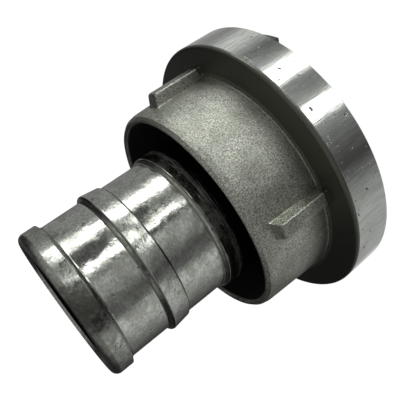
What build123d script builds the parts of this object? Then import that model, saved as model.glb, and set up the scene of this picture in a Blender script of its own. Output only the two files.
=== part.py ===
from build123d import *
from math import atan2, degrees, radians, sin, sqrt
import os

# Quarter turn fire hose coupling half, standing on its two lug tips with the hose tail up.
# +Z runs along the waterway from the coupling face to the end of the hose tail. The origin is
# on that axis, level with the lug tips. The lugs lie on +Y and -Y. Millimetres and degrees.

# Lugs and the channel that takes the lugs of the other half
lug_distance = 66.0  # across the inner faces of the two lugs
lug_neck = 5.0  # radial thickness of a lug's neck
lug_hook = 4.5  # radial overhang of the hook beyond the neck
hook_thickness = 5.0
lug_reach = 8.9  # from the coupling face to the lug tip
lug_angle = 38.0
tip_edge = 0.6
slot_angle = 44.0  # width of an entry slot
slot_corner = 1.6
slot_relief = 0.5  # of the slot's outer wall beyond the channel's
ramp_relief = 0.25  # the same where the ramp is cut
slot_margin = 1.0  # angle between a lug's flank and the slot beside it
hook_clearance = 0.7  # round the outside of a lug of the other half
neck_clearance = 0.6
lip_play = 0.3  # between a turned-in lip and the hook behind it
ramp_rise = 1.0  # by which the lip thickens towards its stop
depth_clearance = 0.4
foot_fillet = 1.0
lip_edge = 0.5

# Lug ring
channel_wall = 5.8  # outside the channel
floor_wall = 4.8  # behind the channel, at the flange's rear edge
flange_dish = 1.5  # by which the flange's rear face rises towards the collar
rim_chamfer = 0.5
flange_round = 1.1  # rear outer edge of the flange
web_thickness = 8.7
web_edge = 0.4
collar_length = 26.8  # behind the flange's rear edge
mouth_radius = 35.7  # rear opening of the collar
collar_wall = 2.7
collar_draft = 0.7  # by which the outside widens towards the flange
core_draft = 0.8  # by which the inside narrows towards the web
rim_crown = 0.75  # from the mouth to the flat at the very rear of the rim
rim_flat = 0.6
rim_inner_drop = 1.2
rim_outer_drop = 2.9
rim_shoulder = 0.45  # radial fall of the rim's outer rounding, halfway
rim_shoulder_drop = 1.0
rim_softness = 0.35
collar_fillet = 0.5
pocket_fillet = 2.5

# Wrench ribs
rib_count = 4
rib_width = 4.7  # across the top
rib_draft = 0.5  # by which each flank widens down to the collar
rib_height = 4.2  # above the collar's rear
rib_length = 19.6  # along the top, behind the flange's rear edge
rib_end_slope = 1.4
rib_end_round = 1.3  # at the upper edge of a rib's end
rib_end_fillet = 1.3  # at its foot
rib_sink = 1.5  # how far a rib's root goes into the collar's wall
rib_fillet = 0.8
rib_edge = 0.6

# Hose tail
bore_radius = 21.75
tail_wall = 2.75  # between the hose ridges
ridge_height = 1.55
bead_height = 1.65
bead_length = 7.6
bead_round = 2.4
bead_rise = 0.8
end_chamfer = 1.3
outer_groove = 14.0  # plain length between the bead and the ridge
ridge_slope = 1.2
ridge_crown = 6.3
ridge_fall = 0.8  # of the crown from the hose end's side to the shank's side
ridge_front = 0.4
inner_groove = 15.1  # plain length between the ridge and the shank
shank_length = 22.0
shank_height = 1.2
shank_slope = 1.0
ridge_soften = 1.2  # rounding at the feet of the ridges
ridge_edge = 0.45  # and at their upper edges
ridge_round = 0.9  # at the high edge of the middle ridge
bearing_step = 1.9  # by which the bearing stands above the bead
bearing_land = 2.5  # behind the snap ring
bearing_slope = 2.0
running_clearance = 0.08  # radial, between the bearing and the ring
axial_play = 0.25  # between the lug ring and what holds it at each side
flange_clearance = 0.6  # radial, between the tail's flange and the lugs
flange_setback = 0.3  # of the tail's flange behind the coupling face
flange_edge = 0.6

# Face seal
seal_wall = 2.6  # of the tail's flange, round the seal's recess
seal_depth = 5.5
seal_lip = 0.6  # by which the recess closes in at its mouth
seal_lip_depth = 1.6
seal_clearance = 0.05
seal_proud = 1.1  # ahead of the coupling face
seal_inset = 0.25  # of its opening outside the bore
seal_edge = 0.7
seal_groove = 3.0  # depth of the pressure groove
seal_front_lip = 1.5
seal_groove_width = 2.6

# Snap ring
wire_radius = 1.4
wire_stand_off = 0.1  # of the wire's centre line outside the bearing
wire_clearance = 0.05
wire_gap_angle = 22.0

# Heights, from the lug tips up
face_z = lug_reach
lip_z = face_z + lug_reach - hook_thickness - lip_play
floor_z = face_z + lug_reach + depth_clearance
flange_rear_z = floor_z + floor_wall
web_rear_z = floor_z + web_thickness
rim_z = flange_rear_z + collar_length
tail_front_z = face_z + flange_setback
tail_flange_z = floor_z - axial_play
seat_z = tail_front_z + seal_depth
wire_z = web_rear_z + axial_play + wire_radius
bearing_end_z = wire_z + wire_radius + bearing_land
shank_end_z = bearing_end_z + shank_length
inner_groove_z = shank_end_z + shank_slope
ridge_z = inner_groove_z + inner_groove
outer_groove_z = ridge_z + ridge_front + ridge_crown + ridge_slope
bead_z = outer_groove_z + outer_groove
tail_end_z = bead_z + bead_length

# Radii
lug_radius = lug_distance / 2
neck_radius = lug_radius + lug_neck
hook_radius = neck_radius + lug_hook
channel_radius = hook_radius + hook_clearance
lip_radius = neck_radius + neck_clearance
ring_radius = channel_radius + channel_wall
groove_radius = bore_radius + tail_wall
bead_radius = groove_radius + bead_height
ridge_radius = groove_radius + ridge_height
shank_radius = groove_radius + shank_height
bearing_radius = bead_radius + bearing_step
web_radius = bearing_radius + running_clearance
tail_flange_radius = lug_radius - flange_clearance
seal_radius = tail_flange_radius - seal_wall
collar_radius = mouth_radius + collar_wall
wire_centre = bearing_radius + wire_stand_off

lug_places = [90.0, 270.0]
slot_offset = lug_angle / 2 + slot_margin + slot_angle / 2
lip_angle = 180.0 - lug_angle - slot_angle - 2 * slot_margin
lip_offset = slot_offset + slot_angle / 2 + lip_angle / 2


def section(corners):
    """Face in the XZ plane from a closed outline of (radius, height, corner rounding)."""
    points = [(radius, height) for radius, height, _ in corners]
    roundings = [rounding for _, _, rounding in corners]
    return Plane.XZ * make_face(FilletPolyline(*points, radius=roundings, close=True))


def turned(corners, middle=0.0, angle=360.0):
    """Solid of revolution about Z, whole or over an angle about the direction of middle."""
    return Rot(0, 0, middle - angle / 2) * revolve(section(corners), Axis.Z, angle)


def band(inner, outer, low, high):
    """Sharp rectangular outline between two radii and two heights."""
    return [(inner, low, 0), (outer, low, 0), (outer, high, 0), (inner, high, 0)]


def ring_blank():
    """Flange, channel, lip, web and collar of the lug ring, before slots, lugs and ribs."""
    return turned([
        (web_radius, floor_z, web_edge),
        (channel_radius, floor_z, foot_fillet),
        (channel_radius, lip_z, 0),
        (lip_radius, lip_z, 0),
        (lip_radius, face_z, lip_edge),
        (ring_radius - rim_chamfer, face_z, 0),
        (ring_radius, face_z + rim_chamfer, 0),
        (ring_radius, flange_rear_z, flange_round),
        (collar_radius + collar_draft, flange_rear_z + flange_dish, collar_fillet),
        (collar_radius, rim_z - rim_outer_drop, rim_outer_drop / 2),
        (collar_radius - rim_shoulder, rim_z - rim_shoulder_drop, rim_softness),
        (mouth_radius + rim_crown + rim_flat, rim_z, rim_softness / 2),
        (mouth_radius + rim_crown, rim_z, rim_softness / 2),
        (mouth_radius, rim_z - rim_inner_drop, rim_softness),
        (mouth_radius - core_draft, web_rear_z, pocket_fillet),
        (web_radius, web_rear_z, web_edge),
    ])


def entry_slot(middle):
    """Gap in the lip that a lug of the other half goes in through."""
    gap = turned(band(lug_radius, channel_radius + slot_relief, face_z - 1, lip_z + lip_play), middle, slot_angle)
    outer_corners = gap.edges().filter_by(Axis.Z).sort_by_distance((0, 0, face_z))[-2:]
    return fillet(outer_corners, slot_corner)


def ramp(middle):
    """Wedge that thins a lip towards its entry slot. Its face is a plane that leans along the lip."""
    chord = (lip_radius + channel_radius) / 2 * sin(radians(lip_angle / 2))
    lean = degrees(atan2(ramp_rise / 2, chord))
    above = Pos(0, 0, lip_z - ramp_rise / 2) * Rot(lean, 0, 0) * Box(
        4 * ring_radius, 4 * ring_radius, ring_radius, align=(Align.CENTER, Align.CENTER, Align.MIN)
    )
    arc = turned(band(lug_radius, channel_radius + ramp_relief, face_z, lip_z + lip_play), middle, lip_angle)
    return arc & (Rot(0, 0, middle) * above)


def lug(middle):
    """Neck that rises from the channel's floor, with its hook turned outwards at the tip."""
    solid = turned(
        [
            (lug_radius, 0, tip_edge),
            (hook_radius, 0, tip_edge),
            (hook_radius, hook_thickness, tip_edge),
            (neck_radius, hook_thickness, foot_fillet / 2),
            (neck_radius, floor_z, foot_fillet),
            (neck_radius + 2 * foot_fillet, floor_z, 0),
            (neck_radius + 2 * foot_fillet, floor_z + floor_wall / 2, 0),
            (lug_radius, floor_z + floor_wall / 2, 0),
        ],
        middle,
        lug_angle,
    )
    return solid


def wrench_rib(direction):
    """Straight rib along the collar that a hook wrench pushes on, with a flared root."""
    half = rib_width / 2
    foot = half + rib_draft
    root = collar_radius - rib_sink
    spread = foot + 1.5 * rib_fillet
    base = sqrt(collar_radius**2 - spread**2)
    top = collar_radius + rib_height
    low = flange_rear_z - floor_wall / 2
    high = flange_rear_z + rib_length
    across = [
        (root, -spread, 0),
        (base, -spread, 0),
        (base, -foot, rib_fillet),
        (top, -half, rib_edge),
        (top, half, rib_edge),
        (base, foot, rib_fillet),
        (base, spread, 0),
        (root, spread, 0),
    ]
    outline = FilletPolyline(
        *[(x, y) for x, y, _ in across], radius=[rounding for _, _, rounding in across], close=True
    )
    bar = Pos(0, 0, low) * extrude(make_face(outline), high + rib_end_slope + 2 * rib_end_fillet - low)
    foot_radius = collar_radius - rib_draft
    side = section([
        (root - 1, low, 0),
        (top, low, 0),
        (top, high, rib_end_round),
        (foot_radius, high + rib_end_slope, rib_end_fillet),
        (foot_radius, high + rib_end_slope + 2 * rib_end_fillet, 0),
        (root - 1, high + rib_end_slope + 2 * rib_end_fillet, 0),
    ])
    return Rot(0, 0, direction) * (bar & extrude(side, spread + 1, both=True))


def lug_ring():
    """Casting that grips the other half: flange with lugs and channel, and collar with ribs."""
    solid = ring_blank()
    for place in lug_places:
        solid -= entry_slot(place + slot_offset)
        solid -= ramp(place + lip_offset)
        solid += lug(place)
    for turn in range(rib_count):
        solid += wrench_rib(lug_places[0] + turn * 360 / rib_count)
    return solid


def hose_tail():
    """Turned casting from the seal's recess to the end that the hose is pushed over."""
    solid = turned([
        (bore_radius, seat_z, 0),
        (seal_radius, seat_z, 0),
        (seal_radius, tail_front_z + seal_lip_depth, 0),
        (seal_radius - seal_lip, tail_front_z + seal_lip_depth, 0),
        (seal_radius - seal_lip, tail_front_z, 0),
        (tail_flange_radius, tail_front_z, flange_edge),
        (tail_flange_radius, tail_flange_z, flange_edge),
        (bearing_radius, tail_flange_z, 0),
        (bearing_radius, bearing_end_z, web_edge),
        (shank_radius, bearing_end_z + bearing_slope, ridge_soften),
        (shank_radius, shank_end_z, ridge_edge),
        (groove_radius, inner_groove_z, ridge_soften / 2),
        (groove_radius, ridge_z, ridge_soften / 4),
        (ridge_radius - ridge_fall, ridge_z + ridge_front, ridge_edge / 2),
        (ridge_radius, ridge_z + ridge_front + ridge_crown, ridge_round),
        (groove_radius, outer_groove_z, ridge_soften / 2),
        (groove_radius, bead_z, ridge_soften),
        (bead_radius, bead_z + bead_rise, ridge_edge),
        (bead_radius, tail_end_z, bead_round),
        (bore_radius + end_chamfer, tail_end_z, 0),
        (bore_radius, tail_end_z - end_chamfer, 0),
    ])
    groove = Pos(0, 0, wire_z) * Torus(wire_centre, wire_radius + wire_clearance)
    return solid - groove


def face_seal():
    """Rubber ring that stands proud of the face, with a groove that the water spreads open."""
    outer = seal_radius - seal_clearance
    front = face_z - seal_proud
    inner = bore_radius + seal_inset
    neck = outer - seal_lip
    shoulder = tail_front_z + seal_lip_depth + seal_clearance
    groove_z = front + seal_front_lip
    return turned([
        (inner, seat_z, 0),
        (outer, seat_z, 0),
        (outer, shoulder, 0),
        (neck, shoulder, 0),
        (neck, front, seal_edge),
        (inner, front, seal_edge),
        (inner, groove_z, seal_edge / 2),
        (inner + seal_groove, groove_z + seal_groove_width / 2, seal_edge / 2),
        (inner, groove_z + seal_groove_width, 0),
    ])


def snap_ring():
    """Open ring of spring wire behind the lug ring's web."""
    wire = Plane.XZ * (Pos(wire_centre, 0) * Circle(wire_radius))
    arc = revolve(wire, Axis.Z, 360 - wire_gap_angle)
    return Pos(0, 0, wire_z) * Rot(0, 0, wire_gap_angle / 2) * arc


nodes = {
    "lug_ring": lug_ring(),
    "hose_tail": hose_tail(),
    "face_seal": face_seal(),
    "snap_ring": snap_ring(),
}
os.makedirs("parts", exist_ok=True)
for name, solid in nodes.items():
    export_step(solid, f"parts/{name}.step")
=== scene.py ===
from math import radians

import bpy
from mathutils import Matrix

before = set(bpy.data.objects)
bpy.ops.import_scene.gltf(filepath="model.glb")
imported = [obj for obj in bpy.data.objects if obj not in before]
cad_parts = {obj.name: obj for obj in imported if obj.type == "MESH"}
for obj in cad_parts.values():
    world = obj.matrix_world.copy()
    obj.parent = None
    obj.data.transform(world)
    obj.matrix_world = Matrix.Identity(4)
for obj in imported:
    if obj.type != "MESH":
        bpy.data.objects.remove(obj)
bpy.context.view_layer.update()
mm = 0.001


# ---------------------------------------------------------------------------------------
# Hose tail. A gravity casting in aluminium, turned in the bore and tumbled outside until it
# shines. It carries the hose, and knocks and sand have left stains, nicks and dull patches.
# ---------------------------------------------------------------------------------------
def node(tree, kind, inputs=None, **settings):
    """Adds a shader node. Inputs are values, or the sockets that they are linked from."""
    made = tree.nodes.new(kind)
    for name, value in settings.items():
        setattr(made, name, value)
    for name, value in (inputs or {}).items():
        socket = made.inputs[name]
        if isinstance(value, bpy.types.NodeSocket):
            tree.links.new(value, socket)
        else:
            socket.default_value = value
    return made


def calc(tree, operation, a, b=0.0, c=0.0):
    """One Math node's result."""
    return node(tree, "ShaderNodeMath", {0: a, 1: b, 2: c}, operation=operation).outputs[0]


def fade(tree, value, low, high, start=0.0, end=1.0):
    """Value carried smoothly from low..high to start..end."""
    limits = {"Value": value, "From Min": low, "From Max": high, "To Min": start, "To Max": end}
    return node(tree, "ShaderNodeMapRange", limits, interpolation_type="SMOOTHSTEP").outputs["Result"]


def blend(tree, factor, first, second):
    """First colour where the factor is 0, second where it is 1."""
    return node(tree, "ShaderNodeMix", {"Factor": factor, 6: first, 7: second}, data_type="RGBA").outputs[2]


def between(tree, factor, first, second):
    """First value where the factor is 0, second where it is 1."""
    return node(tree, "ShaderNodeMix", {"Factor": factor, 2: first, 3: second}).outputs[0]


def grey(level, warmth=0.0):
    """A grey with a little more red and less blue, or the other way round."""
    return (level * (1 + warmth), level, level * (1 - warmth), 1)


def tint(level, blue=0.9):
    """A grey that leans to green, with less blue."""
    return (level * 0.965, level, level * blue, 1)


def noise(tree, place, size, detail=3.0, roughness=0.55, stretch=(1, 1, 1)):
    """Noise with blotches of about the given size, drawn out along the axes with a small stretch."""
    mapped = node(tree, "ShaderNodeMapping", {"Vector": place, "Scale": stretch}).outputs[0]
    grains = {"Vector": mapped, "Scale": 1 / size, "Detail": detail, "Roughness": roughness}
    return node(tree, "ShaderNodeTexNoise", grains).outputs["Fac"]


def turned_place(tree):
    """Place, distance from the waterway's axis and height of the point that is shaded."""
    place = node(tree, "ShaderNodeTexCoord").outputs["Object"]
    parts = node(tree, "ShaderNodeSeparateXYZ", {"Vector": place}).outputs
    flat = node(tree, "ShaderNodeCombineXYZ", {"X": parts[0], "Y": parts[1]}).outputs[0]
    radius = node(tree, "ShaderNodeVectorMath", {0: flat}, operation="LENGTH").outputs["Value"]
    return place, radius, parts[2]


def finish(name, roughness=0.5, metallic=1.0):
    """A material with the two constants on its shader."""
    material = bpy.data.materials.new(name)
    material.use_nodes = True
    shader = material.node_tree.nodes["Principled BSDF"]
    shader.inputs["Roughness"].default_value = roughness
    shader.inputs["Metallic"].default_value = metallic
    return material, material.node_tree, shader


def coat(tree, shader, colour, roughness, height):
    """Links a material's colour, roughness and height in metres to its shader."""
    bump = node(tree, "ShaderNodeBump", {"Height": height, "Distance": 1.0, "Strength": 1.0})
    tree.links.new(colour, shader.inputs["Base Color"])
    tree.links.new(roughness, shader.inputs["Roughness"])
    tree.links.new(bump.outputs[0], shader.inputs["Normal"])


def dress(name, material):
    """Gives a CAD node its material, with round faces smooth and edges crisp."""
    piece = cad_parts[name]
    piece.data.materials.clear()
    piece.data.materials.append(material)
    bpy.ops.object.select_all(action="DESELECT")
    piece.select_set(True)
    bpy.context.view_layer.objects.active = piece
    bpy.ops.object.shade_smooth_by_angle(angle=radians(32))


def pits():
    """Group of scattered pits and nicks: 1 in a pit, 0 outside.

    Amount is the share of places that have one.
    """
    tree = bpy.data.node_groups.new("pits", "ShaderNodeTree")
    tree.interface.new_socket("Place", in_out="INPUT", socket_type="NodeSocketVector")
    tree.interface.new_socket("Spacing", in_out="INPUT", socket_type="NodeSocketFloat")
    tree.interface.new_socket("Amount", in_out="INPUT", socket_type="NodeSocketFloat")
    tree.interface.new_socket("Mask", in_out="OUTPUT", socket_type="NodeSocketFloat")
    given = tree.nodes.new("NodeGroupInput").outputs
    scale = calc(tree, "DIVIDE", 1.0, given["Spacing"])
    finer = calc(tree, "MULTIPLY", scale, 3.0)
    ragged = node(tree, "ShaderNodeTexNoise", {"Vector": given["Place"], "Scale": finer})
    shift = node(
        tree, "ShaderNodeVectorMath", {0: ragged.outputs["Color"], "Scale": 2.2 * mm}, operation="SCALE"
    ).outputs[0]
    moved = node(tree, "ShaderNodeVectorMath", {0: given["Place"], 1: shift}, operation="ADD").outputs[0]
    cells = node(tree, "ShaderNodeTexVoronoi", {"Vector": moved, "Scale": scale})
    lot = node(tree, "ShaderNodeSeparateColor", {"Color": cells.outputs["Color"]}).outputs
    chosen = calc(tree, "LESS_THAN", lot[0], given["Amount"])
    reach = calc(tree, "MULTIPLY_ADD", calc(tree, "POWER", lot[1], 2.0), 0.2, 0.07)
    inside = fade(tree, calc(tree, "DIVIDE", cells.outputs["Distance"], reach), 1.0, 0.5)
    out = tree.nodes.new("NodeGroupOutput")
    tree.links.new(calc(tree, "MULTIPLY", inside, chosen), out.inputs["Mask"])
    return tree


pits_group = pits()


def pitted(tree, place, spacing, amount):
    """Places the group of pits in a material."""
    given = {"Place": place, "Spacing": spacing, "Amount": amount}
    return node(tree, "ShaderNodeGroup", given, node_tree=pits_group).outputs["Mask"]


creases = [level * mm for level in (54.5, 55.5, 70.5, 77.4, 78.5, 92.4)]  # heights of the creases, where shade is painted as dark lines
knock = (25 * mm, 9 * mm, 98 * mm)  # the bead's darkened place
bead_foot = 92 * mm
by_collar = 51 * mm  # on the shank, just clear of the collar
bore_edge = 22 * mm  # just outside the bore's wall

material, tree, shader = finish("tumbled casting")
place, radius, height = turned_place(tree)
swell = noise(tree, place, 9 * mm, detail=1.0)
blotch = noise(tree, place, 5 * mm, detail=4.0, roughness=0.6)
mottle = noise(tree, place, 1.3 * mm, detail=3.0, roughness=0.6)
fine = noise(tree, place, 0.5 * mm, detail=2.0, stretch=(0.4, 0.4, 1))
dull = fade(tree, blotch, 0.44, 0.62)
nicks = pitted(tree, place, 2.0 * mm, fade(tree, blotch, 0.4, 0.65, 0.08, 0.7))
stains = fade(tree, noise(tree, place, 7 * mm, detail=6.0, roughness=0.75), 0.57, 0.70)
colour = blend(tree, fade(tree, fine, 0.3, 0.7), tint(0.72, 0.92), tint(0.50, 0.92))
colour = blend(tree, fade(tree, mottle, 0.45, 0.75, 0.0, 0.6), colour, tint(0.38, 0.88))
colour = blend(tree, calc(tree, "MULTIPLY", dull, 0.45), colour, tint(0.38, 0.84))
colour = blend(tree, calc(tree, "MULTIPLY", stains, 0.7), colour, tint(0.13, 0.8))
apart = node(tree, "ShaderNodeVectorMath", {0: place, 1: knock}, operation="DISTANCE")
knocked = calc(tree, "MULTIPLY_ADD", calc(tree, "ADD", blotch, mottle), 14 * mm, apart.outputs["Value"])
past_foot = fade(tree, height, bead_foot, bead_foot + 1 * mm)
knocked = calc(tree, "MULTIPLY", fade(tree, knocked, 26 * mm, 17 * mm), past_foot)
on_bead = fade(tree, height, bead_foot + 0.3 * mm, bead_foot + 1.2 * mm)
tarnish = calc(tree, "MULTIPLY", on_bead, fade(tree, mottle, 0.35, 0.6))
colour = blend(tree, calc(tree, "MULTIPLY", tarnish, 0.5), colour, tint(0.32, 0.88))
colour = blend(tree, calc(tree, "MULTIPLY", knocked, 0.85), colour, tint(0.06, 0.8))
# Painted shade: thin dark lines in the creases of the ridges and the bead, where shade falls.
painted_crease_shade = 0.0
for crease in creases:
    off = calc(tree, "ABSOLUTE", calc(tree, "SUBTRACT", height, crease))
    off = calc(tree, "MULTIPLY_ADD", blotch, 0.5 * mm, off)
    painted_crease_shade = calc(tree, "MAXIMUM", painted_crease_shade, fade(tree, off, 0.6 * mm, 0.3 * mm))
colour = blend(tree, calc(tree, "MULTIPLY", painted_crease_shade, 0.75), colour, tint(0.06, 0.8))
colour = blend(tree, calc(tree, "MULTIPLY", nicks, 0.9), colour, tint(0.03, 0.8))
lathe_lines = noise(tree, place, 0.4 * mm, detail=3.0, roughness=0.7, stretch=(0.05, 0.05, 1))
# Painted shade: the shank inside the lug ring's collar and the wall of the bore are painted near-black and
# dull, as the deep shade there; lathe lines ragged its edge.
painted_shade_inside = fade(tree, calc(tree, "MULTIPLY_ADD", lathe_lines, -6 * mm, height), 48.5 * mm, 46 * mm)
painted_shade_inside = calc(tree, "MAXIMUM", painted_shade_inside, fade(tree, radius, bore_edge + 0.1 * mm, bore_edge - 0.1 * mm))
colour = blend(tree, painted_shade_inside, colour, grey(0.006))
rough = between(tree, dull, fade(tree, mottle, 0.3, 0.8, 0.09, 0.18), 0.27)
rough = between(tree, calc(tree, "MULTIPLY", tarnish, 0.6), rough, 0.42)
rough = between(tree, painted_shade_inside, rough, 0.8)
relief = calc(tree, "MULTIPLY_ADD", swell, 0.45 * mm, calc(tree, "MULTIPLY", blotch, 0.07 * mm))
relief = calc(tree, "MULTIPLY", relief, fade(tree, height, by_collar, by_collar + 6 * mm, 0.1, 1.0))
relief = calc(tree, "MULTIPLY_ADD", mottle, 0.04 * mm, relief)
relief = calc(tree, "MULTIPLY_ADD", fine, 0.012 * mm, relief)
relief = calc(tree, "MULTIPLY_ADD", nicks, -0.09 * mm, relief)
scuffs = calc(tree, "MULTIPLY", lathe_lines, fade(tree, height, by_collar + 5 * mm, by_collar))
relief = calc(tree, "MULTIPLY_ADD", scuffs, 0.035 * mm, relief)
coat(tree, shader, colour, rough, relief)
dress("hose_tail", material)


# ---------------------------------------------------------------------------------------
# Lug ring. A sand casting, shot blasted all over, then turned bright round the rim and on the
# coupling face. It slides over the tail, and the pocket for the hose inside it is painted black as shade.
# ---------------------------------------------------------------------------------------
flange_rear = 23.0 * mm
turned_end = flange_rear - 1.1 * mm
mouth_edge = 36.4 * mm
within_web = 24 * mm
face = 8.9 * mm

material, tree, shader = finish("blasted casting with a turned rim")
place, radius, height = turned_place(tree)
turned = calc(
    tree, "MULTIPLY", fade(tree, height, turned_end + 0.15 * mm, turned_end - 0.15 * mm),
    fade(tree, height, face - 0.3 * mm, face - 0.1 * mm),
)
# Painted shade: the pocket inside the collar is painted near-black, matt and not metallic, as the shade that
# fills it.
painted_dark_pocket = calc(
    tree, "MULTIPLY", fade(tree, radius, mouth_edge, mouth_edge - 0.7 * mm),
    fade(tree, height, within_web, within_web + 1 * mm),
)
cloud = noise(tree, place, 8 * mm, detail=3.0)
grain = noise(tree, place, 0.45 * mm, detail=2.0, roughness=0.7)
speck = node(tree, "ShaderNodeTexVoronoi", {"Vector": place, "Scale": 1 / (0.55 * mm)})
facet = node(tree, "ShaderNodeSeparateColor", {"Color": speck.outputs["Color"]}).outputs[0]
plain = calc(tree, "MULTIPLY", fade(tree, radius, 39.6 * mm, 41 * mm), fade(tree, height, 26 * mm, 25 * mm))
cast_colour = blend(tree, fade(tree, grain, 0.35, 0.65), tint(0.24, 0.84), tint(0.74, 0.88))
cast_colour = blend(tree, fade(tree, cloud, 0.4, 0.7, 0.0, 0.45), cast_colour, tint(0.26, 0.82))
cast_colour = blend(tree, plain, cast_colour, tint(0.23, 0.86))
# Painted shade: the collar darkens towards the flange where shade falls; the lugs below the coupling face
# have a darker, worn cast tone of their own.
painted_flange_shade = fade(tree, height, 36 * mm, 25 * mm, 0.0, 0.7)
painted_shade_and_dark_lugs = calc(tree, "MAXIMUM", painted_flange_shade, fade(tree, height, face, face - 0.5 * mm))
cast_colour = blend(tree, calc(tree, "MULTIPLY", painted_shade_and_dark_lugs, 0.85), cast_colour, tint(0.12, 0.8))
cast_rough = fade(tree, grain, 0.3, 0.7, 0.30, 0.40)
cast_relief = calc(tree, "MULTIPLY_ADD", grain, 0.13 * mm, calc(tree, "MULTIPLY", cloud, 0.3 * mm))
cast_relief = calc(tree, "MULTIPLY_ADD", facet, 0.025 * mm, cast_relief)
cast_relief = calc(tree, "MULTIPLY", cast_relief, fade(tree, plain, 0.0, 1.0, 1.0, 0.3))

drawn = noise(tree, place, 0.9 * mm, detail=3.0, roughness=0.6, stretch=(1, 1, 0.12))
tool_marks = noise(tree, place, 0.35 * mm, detail=2.0, stretch=(0.01, 0.01, 1))
worn = noise(tree, place, 12 * mm, detail=3.0, roughness=0.6)
dents = pitted(tree, place, 3.0 * mm, fade(tree, worn, 0.4, 0.6, 0.3, 0.95))
pricks = pitted(tree, place, 1.6 * mm, fade(tree, worn, 0.35, 0.6, 0.45, 1.0))
marks = calc(tree, "MAXIMUM", dents, calc(tree, "MULTIPLY", pricks, 0.7))
turned_colour = blend(tree, fade(tree, drawn, 0.35, 0.7), tint(0.84, 0.95), tint(0.66, 0.93))
turned_colour = blend(tree, fade(tree, worn, 0.45, 0.7, 0.0, 0.35), turned_colour, tint(0.52, 0.88))
turned_colour = blend(tree, calc(tree, "MULTIPLY", marks, 0.9), turned_colour, grey(0.04))
turned_rough = fade(tree, drawn, 0.3, 0.75, 0.08, 0.18)
turned_relief = calc(tree, "MULTIPLY_ADD", drawn, 0.024 * mm, calc(tree, "MULTIPLY", tool_marks, 0.006 * mm))
turned_relief = calc(tree, "MULTIPLY_ADD", marks, -0.1 * mm, turned_relief)

colour = blend(tree, turned, cast_colour, turned_colour)
colour = blend(tree, painted_dark_pocket, colour, grey(0.004))
rough = between(tree, painted_dark_pocket, between(tree, turned, cast_rough, turned_rough), 1.0)
relief = between(tree, turned, cast_relief, turned_relief)
relief = calc(tree, "MULTIPLY", relief, calc(tree, "SUBTRACT", 1.0, painted_dark_pocket))
coat(tree, shader, colour, rough, relief)
tree.links.new(calc(tree, "SUBTRACT", 1.0, painted_dark_pocket), shader.inputs["Metallic"])
dress("lug_ring", material)


# ---------------------------------------------------------------------------------------
# Snap ring. Hard drawn spring wire, bent to an open ring and sprung into the tail's groove
# behind the lug ring's web, dark with old grease.
# ---------------------------------------------------------------------------------------
material, tree, shader = finish("greased spring wire")
place = turned_place(tree)[0]
grease = noise(tree, place, 3 * mm)
drawing = noise(tree, place, 0.3 * mm, detail=2.0)
colour = blend(tree, fade(tree, grease, 0.4, 0.65), grey(0.30), grey(0.07, 0.1))
rough = fade(tree, grease, 0.4, 0.65, 0.3, 0.5)
coat(tree, shader, colour, rough, calc(tree, "MULTIPLY", drawing, 0.01 * mm))
dress("snap_ring", material)


# ---------------------------------------------------------------------------------------
# Face seal. Moulded black rubber, pressed into the recess at the front of the tail, with a
# little mould bloom and dust on it.
# ---------------------------------------------------------------------------------------
material, tree, shader = finish("moulded rubber", metallic=0.0)
place = turned_place(tree)[0]
bloom = noise(tree, place, 6 * mm, detail=5.0, roughness=0.7)
skin = noise(tree, place, 0.4 * mm)
colour = blend(tree, fade(tree, bloom, 0.45, 0.75), grey(0.018), grey(0.05, 0.03))
rough = fade(tree, bloom, 0.4, 0.75, 0.42, 0.65)
coat(tree, shader, colour, rough, calc(tree, "MULTIPLY", skin, 0.02 * mm))
dress("face_seal", material)


# ---------------------------------------------------------------------------------------
# Studio. A white floor, and a tent whose cloth is seen only in the metal: two bright strips
# of window, with darker and lighter cloth between them.
# ---------------------------------------------------------------------------------------
bpy.ops.object.select_all(action="DESELECT")
bpy.ops.mesh.primitive_circle_add(vertices=96, radius=4.0, fill_type="NGON")
floor = bpy.context.object
floor.name = "floor"
floor.visible_glossy = False
paint, tree, shader = finish("white floor", roughness=1.0, metallic=0.0)
shader.inputs["Base Color"].default_value = (0.95, 0.95, 0.95, 1)
shader.inputs["Specular IOR Level"].default_value = 0.0
path = node(tree, "ShaderNodeLightPath").outputs
white = node(tree, "ShaderNodeEmission", {"Color": (1, 1, 1, 1), "Strength": 1.06}).outputs[0]
share = calc(tree, "MULTIPLY", path["Is Camera Ray"], 0.93)
mixed = node(tree, "ShaderNodeMixShader", {"Fac": share, 1: shader.outputs[0], 2: white}).outputs[0]
tree.links.new(mixed, tree.nodes["Material Output"].inputs["Surface"])
floor.data.materials.append(paint)

tent_radius = 1.5
brightest = 5.0
low_cloth = [
    (-180, 0.55), (-150, 0.8), (-131, 0.9), (-110, 0.4), (-57, 0.4), (-35, 0.28), (-12, 0.05), (12, 0.16),
    (27, 0.3), (32, 3.0), (40, 3.0), (44, 0.4), (52, 0.24), (61, 0.2), (67, 0.35), (70, 3.0), (81, 2.6),
    (87, 0.5), (95, 0.22), (107, 0.12), (122, 0.6), (130, 0.7), (150, 0.25), (180, 0.4),
]
middle_cloth = [
    (-180, 0.16), (-123, 0.05), (-98, 0.18), (-75, 0.42), (-50, 0.64), (-36, 0.6), (-25, 0.15), (-8, 0.11),
    (16, 0.42), (30, 0.55), (38, 0.1), (46, 0.08), (49, 4.0), (55, 4.0), (59, 0.14), (72, 0.1), (86, 0.2),
    (91, 4.5), (102, 4.5), (107, 0.6), (119, 0.32), (145, 0.34), (160, 0.28),
]
high_cloth = [
    (-180, 0.12), (-165, 0.03), (-100, 0.02), (-70, 0.2), (0, 0.3), (60, 0.4), (120, 0.3), (150, 0.03),
]

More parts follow.
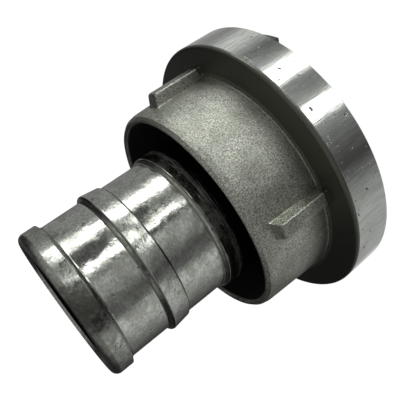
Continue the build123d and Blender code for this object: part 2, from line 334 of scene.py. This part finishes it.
bpy.ops.mesh.primitive_uv_sphere_add(segments=96, ring_count=48, radius=tent_radius)
tent = bpy.context.object
tent.name = "light_tent"
tent.visible_camera = False
tent.visible_diffuse = False
tent.visible_shadow = False
cloth = bpy.data.materials.new("tent cloth")
cloth.use_nodes = True
tree = cloth.node_tree
tree.nodes.clear()
place, radius, height = turned_place(tree)
rise = calc(tree, "DIVIDE", height, tent_radius)
around = node(tree, "ShaderNodeTexGradient", {"Vector": place}, gradient_type="RADIAL").outputs["Fac"]


def band_of_cloth(levels):
    """Light round the tent, from pairs of direction in degrees and level."""
    made = node(tree, "ShaderNodeValToRGB", {"Fac": around})
    stops = made.color_ramp.elements
    while len(stops) < len(levels):
        stops.new(1.0)
    for stop, (direction, level) in zip(stops, levels):
        stop.position = direction / 360 + 0.5
        stop.color = grey(level / brightest)
    return made.outputs["Color"]


light = blend(tree, fade(tree, rise, -0.52, -0.36), band_of_cloth(low_cloth), band_of_cloth(middle_cloth))
light = blend(tree, fade(tree, rise, -0.02, 0.12), light, band_of_cloth(high_cloth))
light = blend(tree, fade(tree, rise, 0.75, 0.95), light, grey(0.3 / brightest))
light = blend(tree, fade(tree, rise, -0.72, -0.88), light, grey(0.25 / brightest))
glow = node(tree, "ShaderNodeEmission", {"Color": light, "Strength": brightest}).outputs[0]
end = tree.nodes.new("ShaderNodeOutputMaterial")
tree.links.new(glow, end.inputs["Surface"])
tent.data.materials.append(cloth)

world = bpy.data.worlds.new("white room")
bpy.context.scene.world = world
world.use_nodes = True
world.node_tree.nodes["Background"].inputs["Color"].default_value = (1, 1, 1, 1)
world.node_tree.nodes["Background"].inputs["Strength"].default_value = 1.0

camera = bpy.data.objects.new("camera", bpy.data.cameras.new("camera"))
bpy.context.scene.collection.objects.link(camera)
camera.location = (154.1 * mm, 78.5 * mm, 107.0 * mm)
camera.rotation_euler = (radians(-57.87), radians(49.41), radians(-38.32))
camera.data.lens = 48.07
camera.data.clip_start = 5 * mm
bpy.context.scene.camera = camera
bpy.context.scene.view_settings.view_transform = "Standard"
